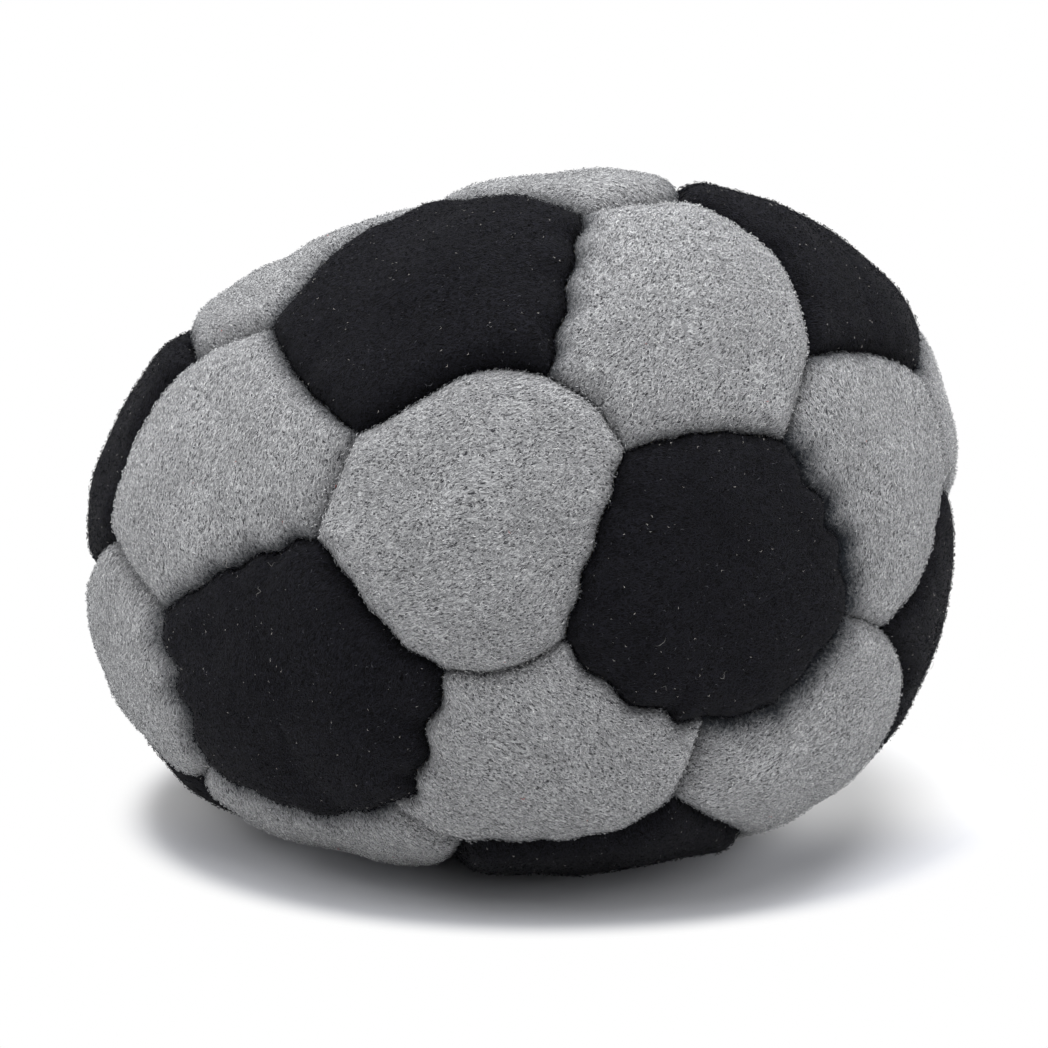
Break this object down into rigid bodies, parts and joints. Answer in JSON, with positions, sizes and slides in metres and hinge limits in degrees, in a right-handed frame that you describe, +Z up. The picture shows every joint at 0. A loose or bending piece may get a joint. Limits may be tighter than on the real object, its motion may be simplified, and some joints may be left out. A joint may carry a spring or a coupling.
{
  "type": "footbag",
  "caption": "Palm-sized kicking bag of soft suede panels sewn round a sand filling, settled on a flat underside.",
  "frame": {"origin": "middle of the bag's box in plan, at the surface that it rests on", "axes": "+Z up, the pictured front faces -Y, and +X is to the right in the picture"},
  "size_m": [0.0584, 0.0538, 0.0454],
  "materials": {
    "black_suede": "matte napped suede",
    "grey_suede": "matte napped suede",
    "sewing_thread": "waxed thread",
    "sand": "loose sand"
  },
  "bodies": {
    "root": {"black_panel_upper_front": "black_suede", "black_panel_front_right": "black_suede", "black_panel_front_left": "black_suede", "black_panel_upper_right": "black_suede", "black_panel_right": "black_suede", "black_panel_left": "black_suede", "black_panel_lower_front": "black_suede", "black_panel_lower_left": "black_suede", "black_panel_upper_back": "black_suede", "black_panel_back_right": "black_suede", "black_panel_back_left": "black_suede", "black_panel_lower_back": "black_suede", "grey_panel_01": "grey_suede", "grey_panel_02": "grey_suede", "grey_panel_03": "grey_suede", "grey_panel_04": "grey_suede", "grey_panel_05": "grey_suede", "grey_panel_06": "grey_suede", "grey_panel_07": "grey_suede", "grey_panel_08": "grey_suede", "grey_panel_09": "grey_suede", "grey_panel_10": "grey_suede", "grey_panel_11": "grey_suede", "grey_panel_12": "grey_suede", "grey_panel_13": "grey_suede", "grey_panel_14": "grey_suede", "grey_panel_15": "grey_suede", "grey_panel_16": "grey_suede", "grey_panel_17": "grey_suede", "grey_panel_18": "grey_suede", "grey_panel_19": "grey_suede", "grey_panel_20": "grey_suede", "sand_filling": "sand", "thread_upper_front": "sewing_thread", "thread_front_right": "sewing_thread", "thread_front_left": "sewing_thread", "thread_upper_right": "sewing_thread", "thread_right": "sewing_thread", "thread_left": "sewing_thread", "thread_lower_front": "sewing_thread", "thread_lower_left": "sewing_thread", "thread_upper_back": "sewing_thread", "thread_back_right": "sewing_thread", "thread_back_left": "sewing_thread", "thread_lower_back": "sewing_thread"}
  },
  "joints": []
}
